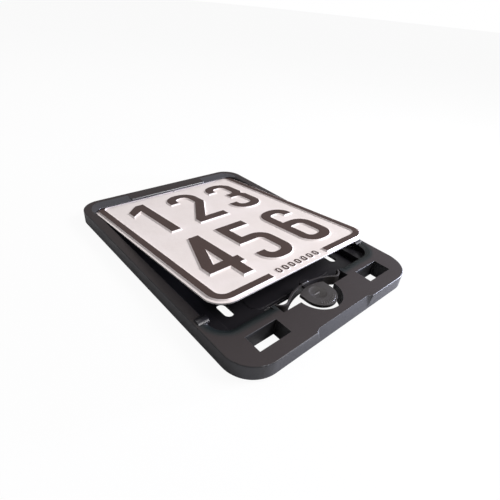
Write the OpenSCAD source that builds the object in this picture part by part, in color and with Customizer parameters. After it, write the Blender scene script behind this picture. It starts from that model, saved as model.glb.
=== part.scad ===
/* [Plate] */
// Width of the number plate sheet
plate_w = 105.5; // [90:0.5:130]
// Length of the number plate sheet
plate_l = 130; // [108:0.5:160]
// Thickness of the plate's aluminium sheet
sheet_t = 0.8; // [0.6:0.1:1.2]
// Height that the border stands above the sheet
emboss_h = 0.8; // [0.4:0.1:1]
// Corner radius of the sheet
plate_r = 10; // [6:0.5:12]
// Bare margin outside the embossed border
border_margin = 1.7; // [1:0.1:3]
// Width of the embossed border
border_w = 3.7; // [2:0.1:5]
// Length of the gap in the border at the button end
border_gap = 37.4; // [20:0.1:60]
// Angle at which the released plate stands in the holder
plate_tilt = 5.9; // [3:0.1:7]

/* [Holder] */
// Free space beside the plate in the well
side_gap = 1.1; // [0.5:0.1:2]
// Free space beyond the plate's tucked edge
far_gap = 0.65; // [0.3:0.05:1.5]
// Free space between the plate and the panel when the plate lies flat
near_gap = 3; // [2.5:0.1:5]
// Width of the side rims
rim_w = 5.3; // [5:0.1:8]
// Thickness of the far wall beyond the well
far_t = 2.4; // [2.2:0.1:4]
// Length of the panel that carries the button and the windows
panel_l = 23.35; // [22.5:0.05:34]
// Height from the mounting face to the top of the rim
holder_h = 9.2; // [8.6:0.1:12]
// Height of the outer skirt
skirt_h = 7.4; // [5:0.1:8]
// Wall thickness of the moulding
wall_t = 2; // [1.6:0.1:2.2]
// Thickness of the well's floor
floor_t = 1.8; // [1.4:0.1:2.2]
// Corner radius at the button end
front_r = 15; // [10:0.5:20]
// Corner radius at the far end
far_r = 12; // [9:0.5:14]
// Radius along the outer top edge
edge_r = 0.5; // [0.3:0.1:1.6]
// Corner radius of the well beside the panel
well_r = 8.5; // [6:0.5:10]
// Width of the soft bevel along the panel's edge in the well
bevel_w = 2.6; // [1:0.1:3.5]
// Depth of the soft bevel
bevel_d = 0.9; // [0.4:0.1:1.2]

/* [Ledges, lip and nubs] */
// Height of the side ledges that carry the plate
ledge_h = 5.2; // [4.2:0.1:5.6]
// Width of each side ledge
ledge_w = 7.1; // [5:0.1:9]
// How far the far lip reaches over the plate
lip_reach = 7.3; // [5:0.1:9]
// Length of the thick bar in the middle of the lip
lip_bar_l = 56; // [30:1:80]
// How far the lip's top slopes down beside the bar
lip_drop = 0.85; // [0.5:0.05:0.9]
// Width of each retaining nub along the rim
nub_w = 4.4; // [3:0.1:6]
// Height of each nub above the rim
nub_h = 0.9; // [0.5:0.1:1.2]
// How far each nub reaches over the plate's edge
nub_over = 0.35; // [0.1:0.05:0.6]
// Distance from the panel's edge in the well to the nubs
nub_y = 11.2; // [9:0.1:20]

/* [Openings] */
// Distance of the windows and slots from the middle
side_x = 37.9; // [34:0.1:42]
// Width of each window in the panel
window_w = 17.5; // [10:0.1:19]
// Length of each window in the panel
window_l = 9.05; // [6:0.05:11]
// Distance from the front edge to a window
window_y = 7.4; // [6.5:0.1:9]
// Width of each mounting slot
slot_w = 5; // [4:0.1:7]
// Overall length of each mounting slot
slot_l = 10.4; // [8:0.1:16]
// Distance from the panel's edge in the well to the first slots
slot_y = 11.5; // [10:0.1:20]
// Distance between the two rows of slots
slot_pitch = 90; // [60:1:95]
// Radius of the round hole behind the button
hole_r = 12; // [10.5:0.1:13]
// Distance from the front edge to the middle of the round hole
hole_back = 17.65; // [17:0.05:18]
// Half the width of the bay that holds the bow spring
bay_half = 23.5; // [23.4:0.1:26]
// Distance from the front edge to the bay
bay_back = 17.45; // [16:0.05:18]
// How far the floor is cut away in the well for the bow spring
bay_reach = 5.5; // [4.5:0.1:7]
// Depth of the recess in the front wall
scoop_d = 1.66; // [0.5:0.02:1.8]
// Half the width of the sloping floor of that recess
scoop_half = 18; // [12:0.1:30]
// How far the recess widens for each millimetre that its ends stand out
scoop_spread = 1.8; // [0.5:0.1:3]

/* [Latch] */
// Radius of the button's round front
button_r = 8.6; // [7:0.1:9]
// Distance from the middle of the button's round front to its far edge
button_far = 6.75; // [6:0.05:7]
// How far the far edge bows out between its two corners
button_bow = 2; // [1:0.1:3]
// Thickness of the button
button_t = 1.6; // [1.2:0.1:2.5]
// Radius of the dish in the button
dish_r = 4.6; // [3:0.1:5]
// Depth of the dish in the button
dish_d = 0.7; // [0.3:0.1:1]
// How far the dish lies behind the middle of the button's round front
dish_back = 1; // [0:0.1:1.5]
// Distance from the front edge to the middle of the button's round front
button_back = 16.65; // [16:0.05:17.2]
// Thickness of the bow spring
leaf_t = 0.9; // [0.7:0.05:1.2]
// Height of the bow spring
leaf_h = 5.4; // [4:0.1:6]
// Radius of the bow
bow_r = 30.5; // [29:0.5:34]
// How far the crown of the bow stands in the well
bow_in = 2.7; // [2:0.1:3]
// Radius of the curled feet
foot_r = 4.2; // [3.5:0.1:4.5]
// Clearance between each foot and the side of the bay
foot_gap = 0.3; // [0.2:0.05:0.5]
// Width of the web between the button and the bow
web_w = 4.4; // [3:0.1:6]
// Width of the nose that holds the plate
nose_w = 4.6; // [4:0.1:10]
// How far the nose stands out from the bow
nose_out = 1.3; // [0.8:0.1:1.6]

/* [Hidden] */
$fn = 72;
// Overlap that fuses two shapes of one piece
lap = 0.5;
// Clearance between the plate and what holds it
play = 0.1;

well_w = plate_w + 2 * side_gap;
holder_w = well_w + 2 * rim_w;
well_l = near_gap + plate_l + far_gap;
holder_l = panel_l + well_l + far_t;
front_y = -holder_l / 2;
back_y = holder_l / 2;
well_y0 = front_y + panel_l;
well_y1 = back_y - far_t;
well_far_r = far_r - rim_w;
mouth_y1 = well_y1 - lip_reach;
deck_z = holder_h - wall_t;
skirt_z = holder_h - skirt_h;
tub_top = holder_h - edge_r;
floor_half = well_w / 2 - ledge_w;

plate_t = sheet_t + emboss_h;
plate_y = well_y1 - far_gap;
plate_z = ledge_h + play + plate_t * cos(plate_tilt);

// The border first meets the lip in the round corner of the well's mouth
corner_x = max(0, plate_w / 2 - border_margin - well_w / 2 + well_far_r);
touch_y = mouth_y1 - well_far_r + sqrt(pow(well_far_r, 2) - pow(corner_x, 2));
lip_z = plate_z + (plate_y - touch_y) * tan(plate_tilt) + play;

window_y0 = front_y + window_y;
bay_y0 = front_y + bay_back;
bay_y1 = well_y0 + bay_reach;
hole_y = front_y + hole_back;
slot_row_y = well_y0 + slot_y + slot_l / 2;
collar_t = 1.6;
collar_z = 1;
rib_t = 1.4;
rib_z = skirt_z + 1;
scoop_z = skirt_z + 1.2;

button_y = front_y + button_back;
bow_y = well_y0 + bow_in;
foot_end_a = -16;
foot_x =bay_half - foot_gap - (foot_r + leaf_t / 2) * cos(foot_end_a);
foot_y = bow_y - bow_r + sqrt(pow(bow_r + foot_r, 2) - pow(foot_x, 2));
bow_half_a = asin(foot_x / (bow_r + foot_r));

// Plan outline with one radius at the front corners and one at the far corners
module plan(w, y0, y1, r0, r1) {
  translate([-w / 2, y0 + r0]) square([w, y1 - y0 - r0 - r1]);
  translate([-w / 2 + r0, y0]) square([w - 2 * r0, r0 + lap]);
  translate([-w / 2 + r1, y1 - r1 - lap]) square([w - 2 * r1, r1 + lap]);
  for (s = [-1, 1]) {
    translate([s * (w / 2 - r0), y0 + r0]) circle(r0);
    translate([s * (w / 2 - r1), y1 - r1]) circle(r1);
  }
}

// Outline of the well inside its walls
module well_plan() {
  plan(well_w, well_y0, well_y1, well_r, well_far_r);
}

// A straight slot with round ends, its length along Y
module slot_plan(w, l) {
  square([w, l - w], center = true);
  for (s = [-1, 1]) translate([0, s * (l - w) / 2]) circle(w / 2);
}

// Section of the outer skirt, with its outer face at x = 0 and a round top edge
module skirt_section() {
  translate([-wall_t, skirt_z]) square([wall_t, skirt_h - edge_r]);
  translate([-wall_t, holder_h - edge_r - lap]) square([wall_t - edge_r, edge_r + lap]);
  translate([-edge_r, holder_h - edge_r]) circle(edge_r);
}

module skirt_side(l) {
  rotate([90, 0, 0]) linear_extrude(l, center = true) skirt_section();
}

module skirt_corner(r, turn) {
  rotate([0, 0, turn]) rotate_extrude(angle = 90) translate([r, 0]) skirt_section();
}

// The skirt: its section run along four sides and round four corners
module skirt() {
  side_l = holder_l - front_r - far_r;
  for (s = [0, 1]) mirror([s, 0, 0]) {
    translate([holder_w / 2, front_y + front_r + side_l / 2, 0]) skirt_side(side_l);
    translate([holder_w / 2 - front_r, front_y + front_r, 0]) skirt_corner(front_r, -90);
    translate([holder_w / 2 - far_r, back_y - far_r, 0]) skirt_corner(far_r, 0);
  }
  translate([0, front_y, 0]) rotate([0, 0, -90]) skirt_side(holder_w - 2 * front_r);
  translate([0, back_y, 0]) rotate([0, 0, 90]) skirt_side(holder_w - 2 * far_r);
}

// The flat top: rims, panel and lip in one sheet
module deck() {
  seam = 0.1;
  inset = edge_r + seam;
  translate([0, 0, deck_z]) linear_extrude(wall_t) difference() {
    plan(holder_w - 2 * inset, front_y + inset, back_y - inset, front_r - inset, far_r - inset);
    plan(well_w, well_y0, mouth_y1, well_r, well_far_r);
  }
}

// The well's walls, floor and side ledges, open at the top
module tub() {
  channel_w = ledge_w - floor_t;
  channel_x = floor_half + floor_t + channel_w / 2;
  difference() {
    linear_extrude(tub_top)
      plan(well_w + 2 * wall_t, well_y0 - wall_t, well_y1 + wall_t, well_r + wall_t, well_far_r + wall_t);
    translate([0, 0, ledge_h]) linear_extrude(tub_top) well_plan();
    // The low middle of the floor
    translate([0, 0, floor_t]) linear_extrude(tub_top) intersection() {
      well_plan();
      translate([-floor_half, well_y0]) square([2 * floor_half, well_l]);
    }
    // Hollow channels under the ledges, open at the back
    for (s = [-1, 1])
      translate([s * channel_x, (well_y0 + well_y1) / 2, ledge_h / 2 - floor_t])
        cube([channel_w, well_l - 2 * well_r, ledge_h], center = true);
  }
}

// A short wall round the outline that is given, under the panel
module collar(z) {
  translate([0, 0, z]) linear_extrude(tub_top - z) children();
}

module window_plan(extra) {
  for (s = [-1, 1])
    translate([s * side_x, window_y0 + window_l / 2])
      square([window_w + 2 * extra, window_l + 2 * extra], center = true);
}

// The round hole and the bay behind it, kept out of the well
module hole_plan(extra) {
  intersection() {
    translate([0, hole_y]) circle(hole_r + extra);
    translate([-holder_w / 2, front_y]) square([holder_w, panel_l - wall_t / 2]);
  }
  translate([-bay_half - extra, bay_y0 - extra])
    square([2 * (bay_half + extra), well_y0 - bay_y0 + extra - wall_t / 2]);
}

// One upright rib along Y under the panel
module rib(x, y0, l) {
  translate([x - rib_t / 2, y0, rib_z]) cube([rib_t, l, tub_top - rib_z]);
}

// Ribs that tie the windows and the round hole to the skirt and the well
module ribs() {
  root_y = front_y + wall_t / 2;
  window_y1 = window_y0 + window_l;
  hole_rib_x = 0.75 * hole_r;
  hole_rib_y = hole_y - sqrt(pow(hole_r, 2) - pow(hole_rib_x, 2));
  for (s = [-1, 1]) {
    for (x = [side_x - window_w / 4, side_x + window_w / 4])
      rib(s * x, root_y, window_y0 - root_y);
    rib(s * side_x, window_y1, well_y0 - wall_t / 2 - window_y1);
    rib(s * hole_rib_x, root_y, hole_rib_y - root_y);
  }
}

// One snap nub: a low ridge across the rim that reaches over the plate's edge
module nub() {
  r = (pow(nub_w / 2, 2) + pow(nub_h, 2)) / (2 * nub_h);
  reach = side_gap + nub_over;
  bare_rim = edge_r + 0.85;
  intersection() {
    translate([well_w / 2 - reach, 0, holder_h + nub_h - r]) rotate([0, 90, 0])
      cylinder(r = r, h = rim_w - bare_rim + reach);
    translate([0, -nub_w / 2, holder_h - 1]) cube([holder_w, nub_w, 2 * nub_h + 1]);
  }
}

// Sloping scoop in the middle of the front wall, deepest at the top, its two ends spread outwards
module scoop() {
  slope = atan(scoop_d / (holder_h - scoop_z));
  out = 10;
  mouth_half = scoop_half + scoop_spread * out;
  translate([0, front_y, scoop_z]) rotate([-slope, 0, 0]) translate([0, 0, -1]) linear_extrude(2 * holder_h)
    polygon([[-scoop_half, 0], [scoop_half, 0], [mouth_half, -out], [-mouth_half, -out]]);
}

// Soft bevel along the panel's edge in the well and round its two corners
module bevel() {
  start_x = bay_half + 2;
  for (s = [0, 1]) mirror([s, 0, 0]) {
    translate([start_x, 0, 0]) rotate([90, 0, 90])
      linear_extrude(well_w / 2 - well_r - start_x) translate([well_y0, 0]) bevel_section(1);
    translate([well_w / 2 - well_r, well_y0 + well_r, 0]) rotate([0, 0, -90])
      rotate_extrude(angle = 90) translate([well_r, 0]) bevel_section(-1);
  }
}

module bevel_section(s) {
  polygon([[s * lap, holder_h - bevel_d * (1 + lap / bevel_w)], [-s * bevel_w, holder_h],
           [-s * bevel_w, holder_h + 1], [s * lap, holder_h + 1]]);
}

// Section of what is cut off the lip's top, lowest at the mouth of the well
module lip_slope_section() {
  flat_l = 0.7;
  low_z = holder_h - lip_drop;
  run = lip_reach - flat_l;
  polygon([[-lap, low_z], [0, low_z], [run, holder_h], [run, holder_h + 1], [-lap, holder_h + 1]]);
}

// What is cut from the lip: its slope beside the bar and the bar's sharp edge
module lip_cut() {
  slope_l = well_w / 2 - well_far_r - lip_bar_l / 2;
  // The slope is narrower where it turns into the side rims
  side_share = 0.62;
  for (s = [0, 1]) mirror([s, 0, 0]) {
    translate([lip_bar_l / 2, mouth_y1, 0]) rotate([90, 0, 90]) linear_extrude(slope_l) lip_slope_section();
    translate([well_w / 2 - well_far_r, mouth_y1 - well_far_r, 0]) scale([side_share, 1, 1])
      rotate_extrude(angle = 90) translate([well_far_r, 0]) lip_slope_section();
  }
  bar_r = 0.9;
  difference() {
    translate([-lip_bar_l / 2, mouth_y1 - lap, holder_h - bar_r]) cube([lip_bar_l, bar_r + lap, bar_r + lap]);
    translate([-lip_bar_l, mouth_y1 + bar_r, holder_h - bar_r]) rotate([0, 90, 0])
      cylinder(r = bar_r, h = 2 * lip_bar_l);
  }
}

// The low bare pad on the floor near the panel
module floor_pad() {
  pad_w = 56;
  pad_l = 15;
  pad_r = 5;
  pad_h = 0.4;
  pad_y = 14.5;
  translate([0, well_y0 + pad_y, floor_t - lap]) linear_extrude(pad_h + lap)
    plan(pad_w, -pad_l / 2, pad_l / 2, pad_r, pad_r);
}

// The moulded holder
module holder() {
  color("#3a3637") difference() {
    union() {
      skirt();
      deck();
      tub();
      collar(0) window_plan(collar_t);
      collar(collar_z) hole_plan(collar_t);
      ribs();
      floor_pad();
      for (s = [0, 1]) mirror([s, 0, 0]) translate([0, well_y0 + nub_y, 0]) nub();
    }
    // Space under the lip for the plate's edge
    translate([0, 0, ledge_h]) linear_extrude(lip_z - ledge_h) well_plan();
    lip_cut();
    bevel();
    scoop();
    translate([0, 0, -1]) linear_extrude(holder_h + 2) {
      window_plan(0);
      hole_plan(0);
      translate([-bay_half, well_y0 - wall_t]) square([2 * bay_half, bay_y1 - well_y0 + wall_t]);
    }
    for (x = [-side_x, side_x], y = [slot_row_y, slot_row_y + slot_pitch])
      translate([x, y, -1]) linear_extrude(floor_t + 2) slot_plan(slot_w, slot_l);
  }
}

// Points along an arc about c, from the angle a0 to a1
function arc(c, r, a0, a1, n) =
  [for (i = [0:n]) let (a = a0 + (a1 - a0) * i / n) c + r * [cos(a), sin(a)]];
function without_first(p) = [for (i = [1:len(p) - 1]) p[i]];
function without_ends(p) = [for (i = [1:len(p) - 2]) p[i]];
function reversed(p) = [for (i = [len(p) - 1:-1:0]) p[i]];
function mirrored(p) = [for (q = p) [-q[0], q[1]]];

// One face of the leaf from its crown to the end of its right foot, this far off its middle line
function leaf_face(off) = concat(
  arc([0, bow_y - bow_r], bow_r + off, 90, 90 - bow_half_a, 24),
  without_first(arc([foot_x, foot_y], foot_r - off, 270 - bow_half_a, 360 + foot_end_a, 20)));

// The bow spring: a central arc that turns over into two curled feet, one strip standing on edge
module bow_leaf() {
  right = concat(leaf_face(leaf_t / 2), reversed(leaf_face(-leaf_t / 2)));
  translate([0, 0, holder_h - leaf_h]) linear_extrude(leaf_h)
    polygon(concat(right, without_ends(mirrored(reversed(right)))));
}

// Outline of the button: round in front, straight at the sides, with two corners and a shallow far edge
module button_plan() {
  bow_edge_r = (pow(button_r, 2) + pow(button_bow, 2)) / (2 * button_bow);
  half_a = asin(button_r / bow_edge_r);
  polygon(concat(arc([0, 0], button_r, 180, 360, 40),
                 arc([0, button_far - bow_edge_r], bow_edge_r, 90 - half_a, 90 + half_a, 16)));
}

// Half section of what is cut out of the button for its dish
module dish_section() {
  polygon([[0, holder_h - dish_d], [0.3 * dish_r, holder_h - dish_d], [0.8 * dish_r, holder_h - dish_d / 2],
           [dish_r, holder_h], [dish_r, holder_h + 1], [0, holder_h + 1]]);
}

// The bow spring with the button on one side and the nose on the other
module press_latch() {
  web_root = 1.2;
  web_drop = 0.4;
  nose_t = 1.6;
  nose_proud = 0.3;
  web_y0 = button_y + button_far - web_root;
  color("#4a4648") union() {
    bow_leaf();
    translate([0, button_y, 0]) difference() {
      translate([0, 0, holder_h - button_t]) linear_extrude(button_t) button_plan();
      translate([0, dish_back, 0]) rotate_extrude() dish_section();
    }
    translate([-web_w / 2, web_y0, holder_h - button_t])
      cube([web_w, bow_y - web_y0, button_t - web_drop]);
    translate([-nose_w / 2, bow_y - leaf_t / 4, holder_h + nose_proud - nose_t])
      cube([nose_w, nose_out + leaf_t / 2, nose_t]);
  }
}

// The pressed sheet in its own flat place: top edge at y = 0, border top at z = 0
module plate_flat() {
  w1 = plate_w - 2 * border_margin;
  w2 = w1 - 2 * border_w;
  r1 = plate_r - border_margin;
  r2 = max(r1 - border_w, 1);
  side_run = emboss_h / 2;
  back_inset = 0.8;
  difference() {
    union() {
      translate([0, 0, -plate_t]) linear_extrude(sheet_t) plan(plate_w, -plate_l, 0, plate_r, plate_r);
      border_step(emboss_h / 2, w1 + side_run, w2 - side_run, r1, r2);
      border_step(emboss_h, w1, w2, r1, r2);
    }
    // The back of the pressed border
    translate([0, 0, -plate_t - 1]) linear_extrude(1 + 0.8 * emboss_h)
      border_ring(w1 - 2 * back_inset, w2 + 2 * back_inset, r1 - back_inset, r2 + back_inset, 2 * back_inset);
  }
}

// One step of the border, which stands h above the sheet
module border_step(h, w1, w2, r1, r2) {
  root = 0.1;
  translate([0, 0, -emboss_h - root]) linear_extrude(h + root) border_ring(w1, w2, r1, r2, 0);
}

// The border's outline between two widths, open at the button end
module border_ring(w1, w2, r1, r2, extra) {
  e1 = (plate_w - w1) / 2;
  e2 = (plate_w - w2) / 2;
  difference() {
    plan(w1, -plate_l + e1, -e1, r1, r1);
    plan(w2, -plate_l + e2, -e2, r2, r2);
    translate([-(border_gap + extra) / 2, -plate_l]) square([border_gap + extra, e2 + lap]);
  }
}

// The number plate, its far edge tucked under the lip and its near end raised
module number_plate() {
  color("#e8e2e4") translate([0, plate_y, plate_z]) rotate([-plate_tilt, 0, 0]) plate_flat();
}

holder();
press_latch();
number_plate();
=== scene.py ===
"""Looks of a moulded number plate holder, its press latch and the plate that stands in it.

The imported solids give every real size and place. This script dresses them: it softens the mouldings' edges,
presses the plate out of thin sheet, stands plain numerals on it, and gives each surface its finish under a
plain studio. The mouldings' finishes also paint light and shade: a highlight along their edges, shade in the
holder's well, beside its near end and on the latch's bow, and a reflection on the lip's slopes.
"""

from __future__ import annotations

import logging
import math
from contextlib import contextmanager
from dataclasses import dataclass, field
from enum import Enum
from typing import Callable, Iterator, Sequence

import bmesh
import bpy
from mathutils import Matrix, Vector


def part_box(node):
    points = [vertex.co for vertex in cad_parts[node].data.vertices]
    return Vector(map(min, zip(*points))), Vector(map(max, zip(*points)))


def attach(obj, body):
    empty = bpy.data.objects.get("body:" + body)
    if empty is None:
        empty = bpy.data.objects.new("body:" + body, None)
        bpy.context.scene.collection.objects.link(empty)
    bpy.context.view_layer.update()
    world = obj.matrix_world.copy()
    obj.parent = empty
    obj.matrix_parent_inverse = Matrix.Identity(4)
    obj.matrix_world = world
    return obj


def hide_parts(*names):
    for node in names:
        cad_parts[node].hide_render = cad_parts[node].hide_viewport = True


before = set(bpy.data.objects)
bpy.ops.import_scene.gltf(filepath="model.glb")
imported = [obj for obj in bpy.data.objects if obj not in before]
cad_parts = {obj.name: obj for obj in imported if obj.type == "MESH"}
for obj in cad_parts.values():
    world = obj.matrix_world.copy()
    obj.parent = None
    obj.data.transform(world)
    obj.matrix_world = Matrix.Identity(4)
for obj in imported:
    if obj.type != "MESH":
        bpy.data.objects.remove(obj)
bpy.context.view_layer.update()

log = logging.getLogger("plate_holder")

MM = 0.001
MOULDING_CREASE = 30.0
SHEET_CREASE = 50.0
CELL_HEIGHT = 45.0
ZERO_WIDTH = 29.0

Colour = tuple[float, float, float]
Corner = tuple[float, ...]
Outline = Sequence[tuple[float, float]]


class Zone(Enum):
    """The four surfaces that the holder's mould leaves. The well's darker colour is painted shade and the lip
    slope's lighter colour is a painted reflection.
    """

    MATT_TOP = 0
    SATIN_SKIRT = 1
    GLOSS_WELL_PAINTED_SHADE = 2
    LIP_SLOPE = 3


class Side(Enum):
    """The surfaces of the pressed plate."""

    WHITE_FACE = 0
    PRINT = 1
    BARE_METAL = 2


class Numeral(Enum):
    """Plain numerals as outlines in a cell 20.5 wide and 45 high, in millimetres. The round zero is 29 wide.

    Each outline is a row of corners: x, y and, where the corner is round, its radius. A second outline is a
    hole in the first.
    """

    ONE = (((9.5, 0), (15.3, 0), (15.3, 45), (10.2, 45), (2.5, 37.5), (2.5, 30.5), (9.5, 36)),)
    TWO = (
        ((0, 0), (20.5, 0), (20.5, 5.8), (7.2, 5.8), (20.5, 26.5, 2), (20.5, 45, 9.5), (0, 45, 9.5),
         (0, 32.5), (5.8, 32.5), (5.8, 39.2, 3.7), (14.7, 39.2, 3.7), (14.7, 28, 2), (0, 5)),
    )
    THREE = (
        ((0, 45, 9.5), (20.5, 45, 9), (20.5, 25, 3), (18.3, 22.5, 2), (20.5, 20, 3), (20.5, 0, 9),
         (0, 0, 9), (0, 11.5), (5.8, 11.5), (5.8, 5.8, 3.4), (14.7, 5.8, 3.4), (14.7, 19.6, 3),
         (8, 19.6), (8, 25.4), (14.7, 25.4, 3), (14.7, 39.2, 3.4), (5.8, 39.2, 3.4), (5.8, 33.5), (0, 33.5)),
    )
    FOUR = (
        ((11.8, 0), (17.6, 0), (17.6, 9.5), (20.5, 9.5), (20.5, 15.3), (17.6, 15.3), (17.6, 45),
         (11.4, 45), (0, 16.5), (0, 9.5), (11.8, 9.5)),
        ((6, 15.3), (11.8, 15.3), (11.8, 30)),
    )
    FIVE = (
        ((0, 11), (0, 0, 9), (20.5, 0, 9), (20.5, 28.5, 8.5), (5.8, 28.5), (5.8, 39.2), (19, 39.2),
         (19, 45), (0, 45), (0, 22.7), (14.7, 22.7, 3.2), (14.7, 5.8, 3.4), (5.8, 5.8, 3.4), (5.8, 11)),
    )
    SIX = (
        ((0, 0, 9), (20.5, 0, 9), (20.5, 27, 8.5), (5.8, 27), (5.8, 39.2, 3.4), (14.7, 39.2, 3.4),
         (14.7, 34.5), (20.5, 34.5), (20.5, 45, 9), (0, 45, 9)),
        ((5.8, 5.8, 3.4), (14.7, 5.8, 3.4), (14.7, 21.2, 3.2), (5.8, 21.2, 1)),
    )
    ROUND_ZERO = (
        ((0, 0, 13), (29, 0, 13), (29, 45, 13), (0, 45, 13)),
        ((9.5, 9.5, 5), (19.5, 9.5, 5), (19.5, 35.5, 5), (9.5, 35.5, 5)),
    )


def direction(azimuth: float, elevation: float) -> Vector:
    """Gives the direction from the object to a place round it.

    Args:
        azimuth: Degrees round the object, 0 on the button end's side, growing towards the plate's right.
        elevation: Degrees above the level.

    Returns:
        The unit vector.
    """
    turn, rise = math.radians(azimuth), math.radians(elevation)
    return Vector((math.sin(turn) * math.cos(rise), -math.cos(turn) * math.cos(rise), math.sin(rise)))


def activate(obj: bpy.types.Object) -> None:
    """Makes obj the only selected object and the active one.

    Args:
        obj: The object that the next operators act on.
    """
    bpy.ops.object.select_all(action="DESELECT")
    obj.select_set(True)
    bpy.context.view_layer.objects.active = obj


@contextmanager
def editing(obj: bpy.types.Object, mode: str = "FACE") -> Iterator[None]:
    """Holds obj in edit mode with everything selected, and leaves edit mode after.

    Args:
        obj: The mesh object to edit.
        mode: What is selected: VERT, EDGE or FACE.

    Yields:
        Nothing, while obj is in edit mode.
    """
    activate(obj)
    bpy.ops.object.mode_set(mode="EDIT")
    bpy.ops.mesh.select_mode(type=mode)
    bpy.ops.mesh.select_all(action="SELECT")
    try:
        yield
    finally:
        bpy.ops.object.mode_set(mode="OBJECT")


def pick_vertices(obj: bpy.types.Object, test: Callable[[Vector], bool]) -> None:
    """Selects the vertices of obj, in edit mode, whose place passes the test.

    Args:
        obj: The mesh object in edit mode.
        test: Says whether a vertex at that place is selected.
    """
    bpy.ops.mesh.select_mode(type="VERT")
    bpy.ops.mesh.select_all(action="DESELECT")
    mesh = bmesh.from_edit_mesh(obj.data)
    for vertex in mesh.verts:
        vertex.select_set(test(vertex.co))
    mesh.select_flush(True)
    bmesh.update_edit_mesh(obj.data)


def bisect_all(place: Vector, normal: tuple[float, float, float]) -> None:
    """Cuts the whole mesh in edit mode along a plane, keeping both sides.

    Args:
        place: A point of the plane.
        normal: The plane's normal.
    """
    bpy.ops.mesh.select_all(action="SELECT")
    bpy.ops.mesh.bisect(plane_co=place, plane_no=normal)


def apply_modifier(obj: bpy.types.Object, kind: str, **settings: object) -> None:
    """Adds one modifier to obj and applies it.

    Args:
        obj: The mesh object.
        kind: The modifier's type, such as BEVEL.
        **settings: The modifier's settings by name.
    """
    activate(obj)
    modifier = obj.modifiers.new(kind.title(), kind)
    for name, value in settings.items():
        setattr(modifier, name, value)
    bpy.ops.object.modifier_apply(modifier=modifier.name)


def settle(obj: bpy.types.Object, place: Matrix) -> None:
    """Puts a mesh where it belongs and leaves its object at the origin.

    Args:
        obj: The mesh object.
        place: The matrix from the piece's own place to the shared frame.
    """
    activate(obj)
    obj.matrix_world = place
    bpy.ops.object.transform_apply(location=True, rotation=True, scale=True)


def smooth(obj: bpy.types.Object, degrees: float) -> None:
    """Shades obj smooth, apart from edges sharper than the angle, with its large faces flat.

    Args:
        obj: The mesh object.
        degrees: The angle above which an edge stays sharp.
    """
    activate(obj)
    bpy.ops.object.shade_smooth_by_angle(angle=math.radians(degrees))
    apply_modifier(obj, "WEIGHTED_NORMAL", mode="FACE_AREA", keep_sharp=True)


def join(parts: Sequence[bpy.types.Object], name: str) -> bpy.types.Object:
    """Joins several mesh objects into one piece.

    Args:
        parts: The objects, of which the first gives the piece its material slots.
        name: The joined piece's name.

    Returns:
        The joined object.
    """
    activate(parts[0])
    for part in parts:
        part.select_set(True)
    bpy.ops.object.join()
    parts[0].name = name
    return parts[0]


def rounded(corners: Sequence[Corner], steps: int) -> list[tuple[float, float]]:
    """Turns corners with radii into the points of an outline.

    Args:
        corners: Rows of x, y and an optional radius.
        steps: How many straight pieces a round corner gets.

    Returns:
        The outline's points in order.
    """
    points: list[tuple[float, float]] = []
    for i, corner in enumerate(corners):
        here = Vector(corner[:2])
        radius = corner[2] if len(corner) > 2 else 0
        if not radius:
            points.append((here.x, here.y))
            continue
        before = (Vector(corners[i - 1][:2]) - here).normalized()
        after = (Vector(corners[(i + 1) % len(corners)][:2]) - here).normalized()
        half = before.angle(after) / 2
        centre = here + (before + after).normalized() * (radius / math.sin(half))
        start = here + before * (radius / math.tan(half)) - centre
        end = here + after * (radius / math.tan(half)) - centre
        turn = start.angle_signed(end)
        for step in range(steps + 1):
            angle = -turn * step / steps
            points.append((centre.x + start.x * math.cos(angle) - start.y * math.sin(angle),
                           centre.y + start.x * math.sin(angle) + start.y * math.cos(angle)))
    return points


def sloped_plate(name: str, outlines: Sequence[Outline], height: float) -> bpy.types.Object:
    """Makes a low solid with sloping sides over flat outlines, with its base at z = 0.

    Args:
        name: The object's name.
        outlines: The outer outline and its holes, in metres, at the solid's top.
        height: How far it stands up, which is also how far its sides spread.

    Returns:
        The closed mesh object.
    """
    weld = 0.001 * MM
    curve = bpy.data.curves.new(name, "CURVE")
    curve.dimensions = "2D"
    curve.fill_mode = "FRONT"
    for outline in outlines:
        spline = curve.splines.new("POLY")
        spline.points.add(len(outline) - 1)
        for point, (x, y) in zip(spline.points, outline):
            point.co = (x, y, 0, 1)
        spline.use_cyclic_u = True
    curve.bevel_depth = height
    curve.bevel_resolution = 0
    obj = bpy.data.objects.new(name, curve)
    bpy.context.collection.objects.link(obj)
    activate(obj)
    bpy.ops.object.convert(target="MESH")
    obj = bpy.context.active_object
    with editing(obj, "VERT"):
        bpy.ops.mesh.remove_doubles(threshold=weld)
        bpy.ops.mesh.select_all(action="DESELECT")
        bpy.ops.mesh.select_non_manifold()
        bpy.ops.mesh.fill()
        bpy.ops.mesh.select_all(action="SELECT")
        bpy.ops.mesh.normals_make_consistent(inside=False)
    return obj


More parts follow.
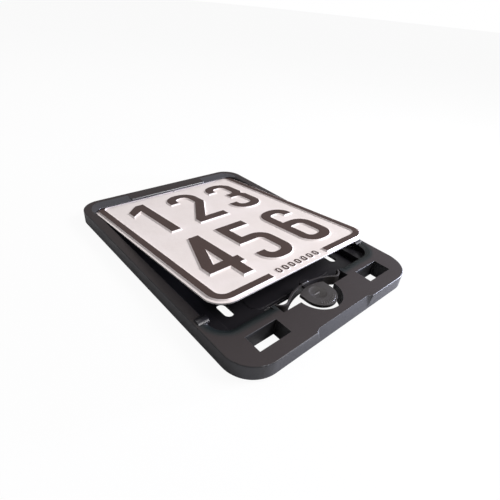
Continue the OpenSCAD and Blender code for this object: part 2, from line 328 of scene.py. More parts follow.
class Nodes:
    """Adds nodes to one node tree and links them by socket name.

    A Mix node has sockets of the same names for each kind of value, so its colour sockets go by number.
    """

    MIX_FACTOR = 0
    MIX_FIRST = 6
    MIX_SECOND = 7
    MIX_RESULT = 2

    def __init__(self, tree: bpy.types.NodeTree) -> None:
        """Starts on an empty tree.

        Args:
            tree: The material's, world's or group's node tree.
        """
        self.tree = tree
        tree.nodes.clear()

    def add(self, kind: str, inputs: dict[str, object] | None = None, **settings: object) -> bpy.types.Node:
        """Adds a node, then sets its properties and sockets.

        Args:
            kind: The node's type without its Shader prefix, such as NodeTexNoise.
            inputs: For each socket, a plain value or another node's output socket.
            **settings: The node's own properties.

        Returns:
            The new node.
        """
        node = self.tree.nodes.new("Shader" + kind)
        for name, value in settings.items():
            setattr(node, name, value)
        for name, value in (inputs or {}).items():
            socket = node.inputs[name]
            if isinstance(value, bpy.types.NodeSocket):
                self.tree.links.new(value, socket)
            else:
                socket.default_value = value
        return node

    def math(self, operation: str, first: object, second: object = 0.0) -> bpy.types.NodeSocket:
        """Adds a math node and returns its result.

        Args:
            operation: The node's operation, such as MULTIPLY.
            first: A number or an output socket.
            second: A number or an output socket.

        Returns:
            The result's output socket.
        """
        return self.add("NodeMath", {0: first, 1: second}, operation=operation).outputs[0]

    def vector(self, operation: str, first: object,
               second: object = (0.0, 0.0, 0.0)) -> bpy.types.NodeSocket:
        """Adds a vector math node and returns its result.

        Args:
            operation: The node's operation, such as MAXIMUM.
            first: A vector or an output socket.
            second: A vector or an output socket.

        Returns:
            The result's output socket.
        """
        return self.add("NodeVectorMath", {0: first, 1: second}, operation=operation).outputs["Vector"]

    def ramp(self, factor: bpy.types.NodeSocket, low: object, high: object, at_low: float = 0.0,
             at_high: float = 1.0) -> bpy.types.NodeSocket:
        """Maps a value's range to another one, and holds it at the ends.

        Args:
            factor: The value's output socket.
            low: Where the range starts, a number or an output socket.
            high: Where it ends, a number or an output socket.
            at_low: The result at its start.
            at_high: The result at its end.

        Returns:
            The result's output socket.
        """
        node = self.add("NodeMapRange", {"Value": factor, "From Min": low, "From Max": high,
                                         "To Min": at_low, "To Max": at_high})
        return node.outputs["Result"]

    def mix(self, factor: object, first: object, second: object) -> bpy.types.NodeSocket:
        """Mixes two colours.

        Args:
            factor: How much of the second colour shows.
            first: A colour or an output socket.
            second: A colour or an output socket.

        Returns:
            The mixed colour's output socket.
        """
        node = self.add("NodeMix", data_type="RGBA")
        for index, value in ((self.MIX_FACTOR, factor), (self.MIX_FIRST, first), (self.MIX_SECOND, second)):
            if isinstance(value, bpy.types.NodeSocket):
                self.tree.links.new(value, node.inputs[index])
            else:
                node.inputs[index].default_value = value if index == self.MIX_FACTOR else (*value, 1)
        return node.outputs[self.MIX_RESULT]


def new_group(name: str, inputs: dict[str, float],
              outputs: Sequence[str]) -> tuple[Nodes, dict[str, bpy.types.NodeSocket], bpy.types.Node]:
    """Starts a shader node group of plain values.

    Args:
        name: The group's name.
        inputs: Each input's name and default.
        outputs: The outputs' names.

    Returns:
        The group's nodes, its inputs as sockets by name, and its output node.
    """
    tree = bpy.data.node_groups.new(name, "ShaderNodeTree")
    for label, default in inputs.items():
        socket = tree.interface.new_socket(label, in_out="INPUT", socket_type="NodeSocketFloat")
        socket.default_value = default
    for label in outputs:
        tree.interface.new_socket(label, in_out="OUTPUT", socket_type="NodeSocketFloat")
    nodes = Nodes(tree)
    entry = tree.nodes.new("NodeGroupInput")
    leave = tree.nodes.new("NodeGroupOutput")
    return nodes, {label: entry.outputs[label] for label in inputs}, leave


def new_material(name: str) -> tuple[bpy.types.Material, Nodes]:
    """Starts a material.

    Args:
        name: The material's name.

    Returns:
        The material and its empty nodes.
    """
    material = bpy.data.materials.new(name)
    material.use_nodes = True
    return material, Nodes(material.node_tree)


def build_skin_group() -> bpy.types.NodeTree:
    """Builds the skin that a mould leaves: a fine grain, slow unevenness and a few rubbed spots.

    Returns:
        The node group, with a height for the grain, a slow drift from 0 to 1 and a mask of rubbed spots.
    """
    drift_low, drift_high = 0.3, 0.7
    spots_per_drift = 6.0
    spot_start, share_reach, spot_fade = 0.86, 0.5, 0.12
    nodes, given, leave = new_group("mould_skin", {"Grain per metre": 3000.0, "Drift per metre": 40.0,
                                                   "Rubbed share": 0.3}, ("Height", "Drift", "Rubbed"))
    place = nodes.add("NodeTexCoord").outputs["Object"]
    grain = nodes.add("NodeTexNoise", {"Vector": place, "Scale": given["Grain per metre"], "Detail": 3.0,
                                       "Roughness": 0.6})
    drift = nodes.add("NodeTexNoise", {"Vector": place, "Scale": given["Drift per metre"], "Detail": 4.0,
                                       "Roughness": 0.55})
    finer = nodes.math("MULTIPLY", given["Drift per metre"], spots_per_drift)
    spots = nodes.add("NodeTexNoise", {"Vector": place, "Scale": finer, "Detail": 6.0, "Roughness": 0.7,
                                       "Distortion": 0.6})
    edge = nodes.math("SUBTRACT", spot_start, nodes.math("MULTIPLY", given["Rubbed share"], share_reach))
    rubbed = nodes.ramp(spots.outputs["Fac"], edge, nodes.math("ADD", edge, spot_fade))
    nodes.tree.links.new(grain.outputs["Fac"], leave.inputs["Height"])
    nodes.tree.links.new(nodes.ramp(drift.outputs["Fac"], drift_low, drift_high), leave.inputs["Drift"])
    nodes.tree.links.new(rubbed, leave.inputs["Rubbed"])
    return nodes.tree


def build_edge_highlight_group() -> bpy.types.NodeTree:
    """Builds a mask of the piece's outer edges, broken up by noise, along which the colour is painted
    lighter: a painted highlight.

    Returns:
        The node group, whose mask is 1 on an edge and 0 on a flat.
    """
    on_flat, on_edge = 0.97, 0.8
    gap_level, highlight_level = 0.35, 0.6
    nodes, given, leave = new_group("painted_edge_highlights", {"Reach": 0.4 * MM, "Break up": 300.0}, ("Mask",))
    bevel = nodes.add("NodeBevel", {"Radius": given["Reach"]}, samples=4)
    flat = nodes.add("NodeNewGeometry").outputs["Normal"]
    turn = nodes.add("NodeVectorMath", {0: bevel.outputs["Normal"], 1: flat}, operation="DOT_PRODUCT")
    edge = nodes.ramp(turn.outputs["Value"], on_flat, on_edge)
    place = nodes.add("NodeTexCoord").outputs["Object"]
    noise = nodes.add("NodeTexNoise", {"Vector": place, "Scale": given["Break up"], "Detail": 4.0})
    broken = nodes.ramp(noise.outputs["Fac"], gap_level, highlight_level)
    nodes.tree.links.new(nodes.math("MULTIPLY", edge, broken), leave.inputs["Mask"])
    return nodes.tree


@dataclass(frozen=True)
class Moulding:
    """A moulded plastic surface: its colour, its gloss and the grain that the mould leaves in it.

    A painted shade band, where it has one, is a darker colour and a lower roughness that the holder's mask
    blends in beside the well. The darker colour is painted shade and the lower roughness is real.
    Along its outer edges the colour is painted lighter: a painted highlight.
    """

    name: str
    colour: Colour
    light: Colour
    roughness: float
    spread: float
    grain_per_m: float
    grain_depth: float
    # How strongly the colour is painted lighter along the edges: a painted highlight.
    painted_highlight: float = 0.35
    ior: float = 1.5
    # A darker colour blended in beside the well, which is painted shade, with a lower roughness.
    painted_shade_band: tuple[Colour, float] | None = None
    drift_share: float = 0.6
    rubbed_gloss: float = 0.1
    # These make the painted highlight's colour from the lighter tone.
    highlight_gain: float = 3.5
    highlight_lift: float = 0.03

    def build(self, groups: dict[str, bpy.types.NodeTree]) -> bpy.types.Material:
        """Builds the material.

        Args:
            groups: The shared node groups by name.

        Returns:
            The material.
        """
        material, nodes = new_material(self.name)
        skin = nodes.add("NodeGroup", node_tree=groups["skin"])
        skin.inputs["Grain per metre"].default_value = self.grain_per_m
        # The edge mask, along which the colour is painted lighter as a highlight.
        edges = nodes.add("NodeGroup", node_tree=groups["edges"])
        drift = nodes.math("MULTIPLY", skin.outputs["Drift"], self.drift_share)
        colour = nodes.mix(drift, self.colour, self.light)
        rough = nodes.ramp(skin.outputs["Drift"], 0.0, 1.0, self.roughness - self.spread,
                           self.roughness + self.spread)
        rubbed = nodes.math("MULTIPLY", skin.outputs["Rubbed"], self.rubbed_gloss)
        rough = nodes.math("SUBTRACT", rough, rubbed)
        # Blends in a darker colour beside the well, which is painted shade, and a lower roughness.
        if self.painted_shade_band:
            painted_shade_mask = nodes.add("NodeGroup", node_tree=groups["painted_shade_band"]).outputs["Mask"]
            colour = nodes.mix(painted_shade_mask, colour, self.painted_shade_band[0])
            smoother = nodes.math("MULTIPLY", painted_shade_mask, self.roughness - self.painted_shade_band[1])
            rough = nodes.math("SUBTRACT", rough, smoother)
        # Paints a highlight: the colour turns lighter along the edge mask.
        painted_highlight_colour = tuple(min(1.0, part * self.highlight_gain + self.highlight_lift) for part in self.light)
        colour = nodes.mix(nodes.math("MULTIPLY", edges.outputs["Mask"], self.painted_highlight), colour, painted_highlight_colour)
        bump = nodes.add("NodeBump", {"Strength": 1.0, "Distance": self.grain_depth,
                                      "Height": skin.outputs["Height"]})
        shader = nodes.add("NodeBsdfPrincipled", {"Base Color": colour, "Roughness": rough,
                                                  "Normal": bump.outputs["Normal"], "IOR": self.ior})
        nodes.add("NodeOutputMaterial", {"Surface": shader.outputs["BSDF"]})
        return material


@dataclass(frozen=True)
class Coating:
    """A coat on the plate's sheet, either its white film or the print on its raised parts."""

    name: str
    colour: Colour
    tint: Colour
    roughness: float
    ripple_per_m: float = 90.0
    ripple_depth: float = 0.0001
    grain_per_m: float = 2500.0
    grain_depth: float = 0.000006
    spread: tuple[float, float] = (0.04, 0.06)

    def build(self, groups: dict[str, bpy.types.NodeTree]) -> bpy.types.Material:
        """Builds the material.

        Args:
            groups: The shared node groups by name.

        Returns:
            The material.
        """
        material, nodes = new_material(self.name)
        skin = nodes.add("NodeGroup", node_tree=groups["skin"])
        skin.inputs["Grain per metre"].default_value = self.grain_per_m
        skin.inputs["Drift per metre"].default_value = self.ripple_per_m
        colour = nodes.mix(skin.outputs["Drift"], self.colour, self.tint)
        rough = nodes.ramp(skin.outputs["Drift"], 0.0, 1.0, self.roughness - self.spread[0],
                           self.roughness + self.spread[1])
        ripple = nodes.add("NodeBump", {"Strength": 1.0, "Distance": self.ripple_depth,
                                        "Height": skin.outputs["Drift"]})
        bump = nodes.add("NodeBump", {"Strength": 1.0, "Distance": self.grain_depth,
                                      "Height": skin.outputs["Height"], "Normal": ripple.outputs["Normal"]})
        shader = nodes.add("NodeBsdfPrincipled", {"Base Color": colour, "Roughness": rough,
                                                  "Normal": bump.outputs["Normal"]})
        nodes.add("NodeOutputMaterial", {"Surface": shader.outputs["BSDF"]})
        return material


@dataclass(frozen=True)
class BareSheet:
    """Bare rolled aluminium, on the plate's cut edge and its back."""

    name: str = "rolled_aluminium"
    colour: Colour = (0.42, 0.4, 0.395)
    roughness: float = 0.5
    metallic: float = 0.9
    spread: tuple[float, float] = (0.06, 0.08)
    streaks_per_m: tuple[float, float, float] = (40.0, 900.0, 900.0)
    streak_depth: float = 0.00001
    streak_shade: float = 0.82
    streak_range: tuple[float, float] = (0.35, 0.65)

    def build(self, groups: dict[str, bpy.types.NodeTree]) -> bpy.types.Material:
        """Builds the material.

        Args:
            groups: The shared node groups by name.

        Returns:
            The material.
        """
        material, nodes = new_material(self.name)
        place = nodes.add("NodeTexCoord").outputs["Object"]
        stretched = nodes.add("NodeMapping", {"Vector": place, "Scale": self.streaks_per_m})
        rolled = nodes.add("NodeTexNoise", {"Vector": stretched.outputs["Vector"], "Scale": 1.0,
                                            "Detail": 5.0})
        skin = nodes.add("NodeGroup", node_tree=groups["skin"])
        streak = nodes.ramp(rolled.outputs["Fac"], *self.streak_range)
        colour = nodes.mix(streak, self.colour, tuple(part * self.streak_shade for part in self.colour))
        rough = nodes.ramp(skin.outputs["Drift"], 0.0, 1.0, self.roughness - self.spread[0],
                           self.roughness + self.spread[1])
        bump = nodes.add("NodeBump", {"Strength": 1.0, "Distance": self.streak_depth,
                                      "Height": rolled.outputs["Fac"]})
        shader = nodes.add("NodeBsdfPrincipled", {"Base Color": colour, "Roughness": rough,
                                                  "Metallic": self.metallic,
                                                  "Normal": bump.outputs["Normal"]})
        nodes.add("NodeOutputMaterial", {"Surface": shader.outputs["BSDF"]})
        return material


# The top's band is painted shade: a darker, bluish colour beside the well's near end.
MATT_TOP = Moulding(
    "moulded_matt_top", colour=(0.0225, 0.0165, 0.017), light=(0.0285, 0.0215, 0.022), roughness=0.62,
    spread=0.04, grain_per_m=2600.0, grain_depth=0.00002, painted_highlight=0.6, ior=1.4,
    painted_shade_band=((0.008, 0.0115, 0.0125), 0.45))
SATIN_SKIRT = Moulding(
    "moulded_satin_skirt", colour=(0.016, 0.0155, 0.0175), light=(0.021, 0.0205, 0.023), roughness=0.44,
    spread=0.05, grain_per_m=1500.0, grain_depth=0.000008, painted_highlight=0.5, ior=1.45)
# The holder's plastic, darker in its well and on its nubs: painted shade. Its gloss is real.
GLOSS_WELL_PAINTED_SHADE = Moulding(
    "moulded_gloss_well_painted_shade", colour=(0.0125, 0.0115, 0.0145), light=(0.017, 0.016, 0.019), roughness=0.34,
    spread=0.05, grain_per_m=900.0, grain_depth=0.000006, painted_highlight=0.9)
# The well's plastic, lighter and bluer on the lip's slopes: a painted reflection. Its gloss is real.
LIP_PAINTED_REFLECTION = Moulding(
    "moulded_lip_painted_reflection", colour=(0.030, 0.029, 0.036), light=(0.036, 0.035, 0.043), roughness=0.26,
    spread=0.04, grain_per_m=900.0, grain_depth=0.000006, painted_highlight=0.9, ior=1.6)
LATCH_FACE = Moulding(
    "latch_fine_matt", colour=(0.031, 0.027, 0.027), light=(0.038, 0.034, 0.034), roughness=0.46,
    spread=0.05, grain_per_m=2600.0, grain_depth=0.000018, painted_highlight=0.5)
# The button's plastic, darker on the bow and its feet: painted shade. Its smoothness is real.
LATCH_SPRING_PAINTED_SHADE = Moulding(
    "latch_smooth_spring_painted_shade", colour=(0.016, 0.0145, 0.016), light=(0.021, 0.019, 0.021), roughness=0.32,
    spread=0.05, grain_per_m=1200.0, grain_depth=0.000006, painted_highlight=0.7)
LATCH_MARK = Moulding(
    "latch_raised_mark", colour=(0.05, 0.046, 0.046), light=(0.06, 0.056, 0.056), roughness=0.36,
    spread=0.04, grain_per_m=2600.0, grain_depth=0.000008)
WHITE_FILM = Coating("plate_white_film", colour=(0.82, 0.755, 0.75), tint=(0.79, 0.72, 0.715), roughness=0.5)
BROWN_PRINT = Coating("plate_brown_print", colour=(0.038, 0.0185, 0.0155), tint=(0.048, 0.025, 0.021),
                      roughness=0.58)
WARM_WHITE = (1.0, 0.985, 0.98)
PALE_BLUE = (0.76, 0.8, 1.0)


@dataclass(frozen=True)
class Softbox:
    """A square soft light that looks at the object."""

    name: str
    azimuth: float
    elevation: float
    away: float
    size: float
    power: float
    colour: Colour = (1.0, 1.0, 1.0)

    def build(self, target: Vector) -> None:
        """Builds the light.

        Args:
            target: The place that it looks at.
        """
        towards = direction(self.azimuth, self.elevation)
        data = bpy.data.lights.new(self.name, "AREA")
        data.shape = "SQUARE"
        data.size = self.size
        data.energy = self.power
        data.color = self.colour
        lamp = bpy.data.objects.new(self.name, data)
        lamp.location = target + towards * self.away
        lamp.rotation_euler = towards.to_track_quat("Z", "Y").to_euler()
        bpy.context.collection.objects.link(lamp)


@dataclass
class Studio:
    """A pale floor, soft lights and the camera at the photograph's angle."""

    target: Vector = field(default_factory=lambda: Vector((1.066, -12.292, 5.0)) * MM)
    distance: float = 209.495 * MM
    azimuth: float = -44.4025
    elevation: float = 33.4154
    roll: float = 5.8533
    lens: float = 26.849526
    sensor: float = 36.0
    nearest: float = 5 * MM
    ambient: float = 0.22
    mirrored: float = 0.4
    floor_size: float = 30.0
    floor_drop: float = 0.1 * MM
    floor_glow: float = 0.94
    floor_colour: Colour = (0.8, 0.8, 0.82)
    lamps: tuple[Softbox, ...] = (
        Softbox("key", azimuth=48.0, elevation=44.0, away=0.8, size=0.3, power=6.4, colour=WARM_WHITE),
        Softbox("overhead", azimuth=165.0, elevation=68.0, away=0.8, size=0.5, power=1.6, colour=WARM_WHITE),
        Softbox("low_front", azimuth=60.0, elevation=4.5, away=0.45, size=0.07, power=6.0, colour=PALE_BLUE),
    )

    def build(self) -> None:
        """Builds the camera, the world, the floor and the lights."""
        bpy.context.scene.view_settings.view_transform = "Standard"
        self.build_camera()
        self.build_world()
        self.build_floor()
        for lamp in self.lamps:
            lamp.build(self.target)

    def build_camera(self) -> None:
        """Builds the camera from its target, distance and three angles."""
        turn, lean = math.radians(self.azimuth), math.radians(self.roll)
        back = direction(self.azimuth, self.elevation)
        level = Vector((math.cos(turn), math.sin(turn), 0))
        upright = back.cross(level)
        right = level * math.cos(lean) + upright * math.sin(lean)
        up = upright * math.cos(lean) - level * math.sin(lean)
        data = bpy.data.cameras.new("camera")
        data.lens = self.lens
        data.sensor_width = self.sensor
        data.clip_start = self.nearest
        camera = bpy.data.objects.new("camera", data)
        camera.matrix_world = Matrix((right, up, back)).transposed().to_4x4()
        camera.location = self.target + back * self.distance
        bpy.context.collection.objects.link(camera)
        bpy.context.scene.camera = camera

    def build_world(self) -> None:
        """Builds soft light from all round, behind a white background."""
        world = bpy.data.worlds.new("studio")
        bpy.context.scene.world = world
        world.use_nodes = True
        nodes = Nodes(world.node_tree)
        path = nodes.add("NodeLightPath").outputs
        seen = nodes.math("MAXIMUM", path["Is Camera Ray"], path["Is Transmission Ray"])
        seen = nodes.math("MAXIMUM", seen, nodes.math("MULTIPLY", path["Is Glossy Ray"], self.mirrored))
        strength = nodes.math("MAXIMUM", seen, self.ambient)
        light = nodes.add("NodeBackground", {"Color": (1, 1, 1, 1), "Strength": strength})
        nodes.add("NodeOutputWorld", {"Surface": light.outputs["Background"]})

    def build_floor(self) -> None:
        """Builds the pale floor, which keeps a light shadow of the object."""
        bpy.ops.object.select_all(action="DESELECT")
        bpy.ops.mesh.primitive_plane_add(size=self.floor_size, location=(0, 0, -self.floor_drop))
        floor = bpy.context.active_object
        floor.name = "floor"
        material, nodes = new_material("pale_floor")
        diffuse = nodes.add("NodeBsdfDiffuse", {"Color": (*self.floor_colour, 1)})
        glow = nodes.add("NodeEmission", {"Color": (1, 1, 1, 1), "Strength": 1.0})
        seen = nodes.math("MULTIPLY", nodes.add("NodeLightPath").outputs["Is Camera Ray"], self.floor_glow)
        mixed = nodes.add("NodeMixShader", {0: seen, 1: diffuse.outputs["BSDF"],
                                            2: glow.outputs["Emission"]})
        nodes.add("NodeOutputMaterial", {"Surface": mixed.outputs["Shader"]})
        floor.data.materials.append(material)


def softened_copy(node: str, name: str, edge: float) -> bpy.types.Object:
    """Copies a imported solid, makes its flat faces whole again and rounds its sharp edges.

    The slivers that the solid's own round corners are cut into have no edge worth rounding, so they are
    passed over.

    Args:
        node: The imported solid's name.
        name: The copy's name.
        edge: The radius of the rounding.

    Returns:
        The copy, in the solid's own place.
    """
    sliver = 0.02 * MM * MM
    weld = 0.03 * MM
    flat_turn, sharp_turn = math.radians(0.5), math.radians(35)
    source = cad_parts[node]
    obj = bpy.data.objects.new(name, source.data.copy())
    obj.data.materials.clear()
    bpy.context.collection.objects.link(obj)
    with editing(obj):
        bpy.ops.mesh.remove_doubles(threshold=weld)
        bpy.ops.mesh.dissolve_limited(angle_limit=flat_turn)
        bpy.ops.mesh.select_mode(type="EDGE")
        bpy.ops.mesh.select_all(action="DESELECT")
        mesh = bmesh.from_edit_mesh(obj.data)
        for line in mesh.edges:
            sides = line.link_faces
            line.select_set(len(sides) == 2 and line.calc_face_angle() > sharp_turn
                            and min(side.calc_area() for side in sides) > sliver)
        bmesh.update_edit_mesh(obj.data)
        bpy.ops.mesh.bevel(offset=edge, segments=2, affect="EDGES", clamp_overlap=False)
    return obj


@dataclass
class Holder:
    """The moulded tray: matt on top, satin outside, glossy in its well, with painted shade in its well and
    beside its near end, and a painted reflection on the lip's slopes.
    """

    edge: float = 0.12 * MM
    top_band: float = 0.08 * MM
    nub_rise: float = 0.9 * MM
    nub_y: float = 11.2 * MM
    rim_w: float = 5.3 * MM
    skirt_depth: float = 2.6 * MM
    panel_l: float = 23.35 * MM
    well_r: float = 8.5 * MM
    bevel_w: float = 2.6 * MM
    far_t: float = 1.5 * MM
    lip_l: float = 12 * MM
    lip_h: float = 4 * MM
    level: float = 0.97
    bevel_tilt: tuple[float, float] = (0.93, 0.96)
    upward: float = 0.2

    def __post_init__(self) -> None:
        """Works out where the top and the well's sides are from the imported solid."""
        low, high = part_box("holder")
        self.deck_z = high.z - self.nub_rise
        self.rim_x = high.x - self.rim_w
        self.inner_x = high.x - self.skirt_depth
        self.inner_y = (low.y + self.panel_l, high.y - self.far_t)

    def build(self, groups: dict[str, bpy.types.NodeTree]) -> list[bpy.types.Object]:
        """Builds and dresses the holder.

        Args:
            groups: The shared node groups by name.

        Returns:
            The holder's pieces.
        """
        obj = softened_copy("holder", "holder_moulding", self.edge)
        # The mask along which the top is painted darker beside the well: painted shade.
        groups = {**groups, "painted_shade_band": self.build_painted_shade_band()}
        for finish in (MATT_TOP, SATIN_SKIRT, GLOSS_WELL_PAINTED_SHADE, LIP_PAINTED_REFLECTION):
            obj.data.materials.append(finish.build(groups))
        for face in obj.data.polygons:
            face.material_index = self.zone_of(face).value
        smooth(obj, MOULDING_CREASE)
        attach(obj, "holder")
        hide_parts("holder")
        return [obj]

    def build_painted_shade_band(self) -> bpy.types.NodeTree:
        """Builds the mask of the painted shade: a darker colour on the soft bevel that runs round the well's
        near end.

        Returns:
            The node group, whose mask is 1 beside the well, and 0 on the flat panel and past the side nubs.
        """
        ends = {"Full": self.bevel_w, "Gone": 2 * self.bevel_w}
        nodes, given, leave = new_group("well_painted_shade", ends, ("Mask",))
        middle_y = (self.inner_y[0] + self.inner_y[1]) / 2
        half = Vector((self.rim_x - self.well_r, self.inner_y[1] - middle_y - self.well_r, 0))
        place = nodes.add("NodeTexCoord").outputs["Object"]
        offset = nodes.vector("ABSOLUTE", nodes.vector("SUBTRACT", place, (0.0, middle_y, 0.0)))
        beyond = nodes.vector("MAXIMUM", nodes.vector("SUBTRACT", offset, half), (0.0, 0.0, 0.0))
        level = nodes.vector("MULTIPLY", beyond, (1.0, 1.0, 0.0))
        far = nodes.add("NodeVectorMath", {0: level}, operation="LENGTH").outputs["Value"]
        reach = nodes.math("SUBTRACT", far, self.well_r)
        across = nodes.add("NodeMapRange", {"Value": reach, "From Min": given["Gone"],
                                            "From Max": given["Full"]},
                           interpolation_type="SMOOTHSTEP").outputs["Result"]
        along = nodes.add("NodeSeparateXYZ", {"Vector": place}).outputs["Y"]
        nub = self.inner_y[0] + self.nub_y
        near = nodes.ramp(along, nub, nub + self.bevel_w, 1.0, 0.0)
        nodes.tree.links.new(nodes.math("MULTIPLY", across, near), leave.inputs["Mask"])
        return nodes.tree

    def zone_of(self, face: bpy.types.MeshPolygon) -> Zone:
        """Says which surface of the mould a face comes from.

        Args:
            face: The face.

        Returns:
            The face's zone.
        """
        place = face.center
        if place.z > self.deck_z + self.top_band:
            return Zone.GLOSS_WELL_PAINTED_SHADE
        up = face.normal.z
        flat = place.z > self.deck_z - self.top_band and up > self.level
        bevelled = (place.z > self.deck_z - self.nub_rise - self.top_band
                    and self.bevel_tilt[0] < up < self.bevel_tilt[1]
                    and place.y < self.inner_y[0] + self.well_r)
        if flat or bevelled:
            return Zone.MATT_TOP
        inside = abs(place.x) < self.inner_x and self.inner_y[0] < place.y < self.inner_y[1]
        at_lip = self.inner_y[1] - place.y <= self.lip_l and self.deck_z - place.z <= self.lip_h
        # The lip's slopes get the lighter, bluer finish: a painted reflection.
        if inside and at_lip and up > self.upward:
            return Zone.LIP_SLOPE
        return Zone.GLOSS_WELL_PAINTED_SHADE if inside else Zone.SATIN_SKIRT


@dataclass
class Latch:
    """The button on its bow spring, with the raised ribs and mark on its face."""

    edge: float = 0.1 * MM
    button: Vector = field(default_factory=lambda: Vector((0, -63.05, 9.2)) * MM)
    button_far: float = 6.8 * MM
    rib_count: int = 9
    rib_circle: float = 6.9 * MM
    rib_span: float = 84.0
    rib_length: float = 1.3 * MM
    rib_width: float = 0.4 * MM
    rib_height: float = 0.16 * MM
    mark_x: tuple[float, float] = (-2.9 * MM, 1.6 * MM)
    mark_y: float = 1.1 * MM
    mark_width: float = 0.22 * MM
    mark_drop: float = 0.44 * MM
    tip_length: float = 0.8 * MM
    tip_width: float = 0.9 * MM
    tip_place: tuple[float, float] = (0.2 * MM, -0.45 * MM)
    dish_floor: float = 0.7 * MM
    sunk: float = 0.01 * MM

    def build(self, groups: dict[str, bpy.types.NodeTree]) -> list[bpy.types.Object]:
        """Builds and dresses the latch.

        Args:
            groups: The shared node groups by name.

        Returns:
            The latch's pieces.
        """
        spring = softened_copy("press_latch", "latch_moulding", self.edge)
        for finish in (LATCH_FACE, LATCH_SPRING_PAINTED_SHADE):
            spring.data.materials.append(finish.build(groups))
        # The bow and its feet, beyond the button's far edge, get the darker colour: painted shade.
        for face in spring.data.polygons:
            face.material_index = int(face.center.y > self.button.y + self.button_far)
        smooth(spring, MOULDING_CREASE)
        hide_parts("press_latch")
        mark_finish = LATCH_MARK.build(groups)
        ribs = self.build_ribs()
        mark = self.build_mark()
        for obj in (ribs, mark):
            obj.data.materials.append(mark_finish)
            smooth(obj, MOULDING_CREASE)
        for obj in (spring, ribs, mark):
            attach(obj, "latch")
        return [spring, ribs, mark]

    def build_bar(self, name: str, width: float, length: float, height: float) -> bpy.types.Object:
        """Builds one low bar with sloping sides.

        Args:
            name: The bar's name.
            width: Its size along X at the top.
            length: Its size along Y at the top.
            height: How far it stands up.

        Returns:
            The bar, with its base at z = 0.
        """
        corners = [(s * width / 2, t * length / 2) for s, t in ((-1, -1), (1, -1), (1, 1), (-1, 1))]
        return sloped_plate(name, [corners], height)

    def build_ribs(self) -> bpy.types.Object:
        """Builds the row of raised ribs along the button's front edge.

        Returns:
            The ribs as one piece.
        """
        ribs = []
        for i in range(self.rib_count):
            angle = math.radians(-self.rib_span / 2 + self.rib_span * i / (self.rib_count - 1))
            rib = self.build_bar(f"rib_{i}", self.rib_width, self.rib_length, self.rib_height)
            place = Matrix.Translation(self.button) @ Matrix.Rotation(angle, 4, "Z")
            settle(rib, place @ Matrix.Translation((0, -self.rib_circle, -self.sunk)))
            ribs.append(rib)
        return join(ribs, "button_ribs")

    def build_mark(self) -> bpy.types.Object:
        """Builds the mark in the dish: a thin raised line with a small tip on its front side.

        The dish's floor is deepest in the middle, so the line's base is at that depth and its left end runs
        into the dish's slope.

        Returns:
            The mark as one piece.
        """
        start, end = self.mark_x
        rise = self.dish_floor - self.mark_drop
        base = self.button + Vector((0, self.mark_y, -self.dish_floor - self.sunk))
        line = self.build_bar("button_mark", end - start - 2 * rise, self.mark_width, rise)
        settle(line, Matrix.Translation(base + Vector(((start + end) / 2, 0, 0))))
        half_w = self.tip_width / 2
        tip = sloped_plate("tip", [[(-half_w, 0), (0, -self.tip_length), (half_w, 0)]], self.rib_height)
        settle(tip, Matrix.Translation(base + Vector((*self.tip_place, 0))))
        return join([line, tip], "button_mark")


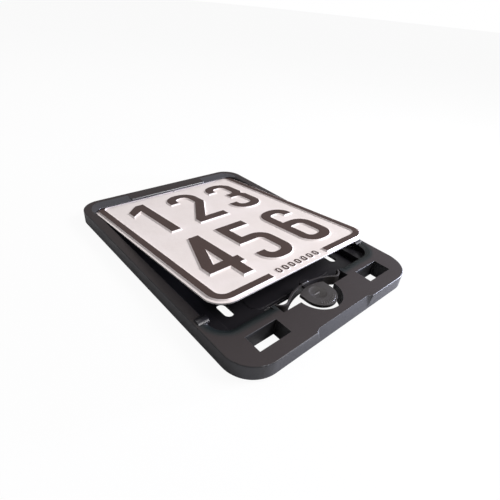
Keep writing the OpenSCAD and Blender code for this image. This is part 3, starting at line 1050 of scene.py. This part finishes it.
@dataclass
class NumberPlate:
    """The plate: thin sheet pressed into a border, with print on all that stands up."""

    tilt: float = 5.9
    sheet_t: float = 0.8 * MM
    emboss: float = 0.8 * MM
    corner_r: float = 10 * MM
    corner_steps: int = 12
    margin: float = 1.7 * MM
    border_w: float = 3.7 * MM
    slope: float = 0.45 * MM
    gap_x: tuple[float, float] = (-20 * MM, 17.4 * MM)
    row_y: tuple[float, float] = (12.1 * MM, 69.9 * MM)
    column_x: tuple[float, float, float] = (-40.6 * MM, -11.9 * MM, 18.2 * MM)
    upper: tuple[Numeral, ...] = (Numeral.ONE, Numeral.TWO, Numeral.THREE)
    lower: tuple[Numeral, ...] = (Numeral.FOUR, Numeral.FIVE, Numeral.SIX)
    small_count: int = 7
    small_x: tuple[float, float] = (-15.2 * MM, 13.3 * MM)
    small_y: float = 2.75 * MM
    small_height: float = 4.2 * MM
    small_emboss: float = 0.3 * MM
    numeral_steps: int = 6
    sink: float = 0.05 * MM
    print_edge: float = 0.06 * MM
    fold_r: float = 0.14 * MM
    fold_turn: float = 30.0
    side_tilt: float = 0.3
    tiny: float = 0.01 * MM

    def __post_init__(self) -> None:
        """Works out the plate's width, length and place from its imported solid."""
        low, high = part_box("number_plate")
        lean = math.radians(self.tilt)
        self.width = high.x - low.x
        self.length = (high.y - low.y - self.emboss * math.sin(lean)) / math.cos(lean)
        edge = Vector((0, high.y + self.emboss * math.sin(lean),
                       low.z + (self.emboss + self.sheet_t) * math.cos(lean)))
        self.place = (Matrix.Translation(edge) @ Matrix.Rotation(-lean, 4, "X")
                      @ Matrix.Translation((0, -self.length, 0)))

    def build(self, groups: dict[str, bpy.types.NodeTree]) -> list[bpy.types.Object]:
        """Builds and dresses the plate.

        Args:
            groups: The shared node groups by name.

        Returns:
            The plate's pieces.
        """
        finishes = [WHITE_FILM.build(groups), BROWN_PRINT.build(groups), BareSheet().build(groups)]
        sheet = self.press_sheet()
        numerals = self.stand_numerals()
        row = self.stand_small_row()
        for obj in (sheet, numerals, row):
            for finish in finishes:
                obj.data.materials.append(finish)
            self.print_tops(obj)
        self.finish_sheet(sheet)
        for obj in (numerals, row):
            apply_modifier(obj, "BEVEL", width=self.print_edge, segments=1, limit_method="ANGLE",
                           angle_limit=math.radians(self.fold_turn))
            smooth(obj, SHEET_CREASE)
        for obj in (sheet, numerals, row):
            settle(obj, self.place)
            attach(obj, "holder")
        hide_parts("number_plate")
        return [sheet, numerals, row]

    def press_sheet(self) -> bpy.types.Object:
        """Presses the border into a flat blank with round corners.

        Returns:
            The sheet as one surface, its near edge at y = 0 and its border's top at z = 0.
        """
        bpy.ops.object.select_all(action="DESELECT")
        bpy.ops.mesh.primitive_plane_add(size=1)
        obj = bpy.context.active_object
        obj.name = "plate_sheet"
        settle(obj, Matrix.Translation((0, self.length / 2, -self.emboss))
               @ Matrix.Diagonal((self.width, self.length, 1, 1)))
        with editing(obj):
            bpy.ops.mesh.bevel(offset=self.corner_r, segments=self.corner_steps, affect="VERTICES")
            bpy.ops.mesh.inset(thickness=self.margin - self.slope, depth=0)
            bpy.ops.mesh.inset(thickness=self.slope, depth=self.emboss)
            bpy.ops.mesh.inset(thickness=self.border_w, depth=0)
            bpy.ops.mesh.inset(thickness=self.slope, depth=-self.emboss)
            for x in (self.gap_x[0], self.gap_x[0] + self.slope, self.gap_x[1] - self.slope, self.gap_x[1]):
                bisect_all(Vector((x, 0, 0)), (1, 0, 0))
            self.flatten_gap(obj)
        return obj

    def flatten_gap(self, obj: bpy.types.Object) -> None:
        """Lowers the border to the sheet in its gap at the near end.

        Args:
            obj: The sheet in edit mode.
        """
        start, end = (self.gap_x[0] + self.slope, self.gap_x[1] - self.slope)
        near = self.margin + self.border_w + 2 * self.slope
        pick_vertices(obj, lambda place: start - self.tiny < place.x < end + self.tiny and place.y < near
                      and place.z > -self.tiny)
        bpy.ops.transform.translate(value=(0, 0, -self.emboss))

    def print_tops(self, obj: bpy.types.Object) -> None:
        """Gives the print to what stands at the emboss height and the film to the rest.

        Args:
            obj: A surface of the plate in the plate's own place.
        """
        top = max(vertex.co.z for vertex in obj.data.vertices)
        for face in obj.data.polygons:
            raised = all(obj.data.vertices[i].co.z > top - self.tiny for i in face.vertices)
            face.material_index = (Side.PRINT if raised else Side.WHITE_FACE).value

    def finish_sheet(self, obj: bpy.types.Object) -> None:
        """Gives the sheet its thickness, soft folds and a bare back.

        Args:
            obj: The pressed surface.
        """
        apply_modifier(obj, "SOLIDIFY", thickness=self.sheet_t, offset=-1, use_even_offset=True)
        for face in obj.data.polygons:
            if face.normal.z < self.side_tilt:
                face.material_index = Side.BARE_METAL.value
        apply_modifier(obj, "BEVEL", width=self.fold_r, segments=2, limit_method="ANGLE",
                       angle_limit=math.radians(self.fold_turn))
        smooth(obj, SHEET_CREASE)

    def stand_numeral(self, name: str, numeral: Numeral, x: float, y: float, scale: float,
                      height: float) -> bpy.types.Object:
        """Stands one numeral on the sheet.

        Args:
            name: The object's name.
            numeral: The numeral.
            x: The left edge of its cell.
            y: The near edge of its cell.
            scale: From the cell's millimetres to metres.
            height: How far it stands up.

        Returns:
            The numeral, its top that far above the sheet.
        """
        outlines = [[(px * scale, py * scale) for px, py in rounded(corners, self.numeral_steps)]
                    for corners in numeral.value]
        obj = sloped_plate(name, outlines, height + self.sink)
        settle(obj, Matrix.Translation((x, y, -self.emboss - self.sink)))
        return obj

    def stand_numerals(self) -> bpy.types.Object:
        """Stands the two rows of large numerals.

        Returns:
            The numerals as one piece.
        """
        parts = []
        for y, numerals in zip(self.row_y, (self.lower, self.upper)):
            for x, numeral in zip(self.column_x, numerals):
                parts.append(self.stand_numeral(numeral.name, numeral, x, y, MM, self.emboss))
        return join(parts, "plate_numerals")

    def stand_small_row(self) -> bpy.types.Object:
        """Stands the small row of round zeros in the border's gap.

        Returns:
            The row as one piece.
        """
        scale = self.small_height / CELL_HEIGHT
        start, end = self.small_x
        step = (end - start - ZERO_WIDTH * scale) / (self.small_count - 1)
        parts = [self.stand_numeral(f"small_{i}", Numeral.ROUND_ZERO, start + step * i, self.small_y, scale,
                                    self.small_emboss) for i in range(self.small_count)]
        return join(parts, "plate_small_row")


def main() -> None:
    """Builds the studio and the three sub-assemblies, and reports each piece."""
    logging.basicConfig(level=logging.INFO, format="%(message)s")
    Studio().build()
    # The edges group is the mask along which the colour is painted lighter: painted edge highlights.
    groups = {"skin": build_skin_group(), "edges": build_edge_highlight_group()}
    for assembly in (Holder(), Latch(), NumberPlate()):
        for piece in assembly.build(groups):
            log.info("%s: %s, %d faces", type(assembly).__name__, piece.name, len(piece.data.polygons))


if __name__ == "__main__":
    main()
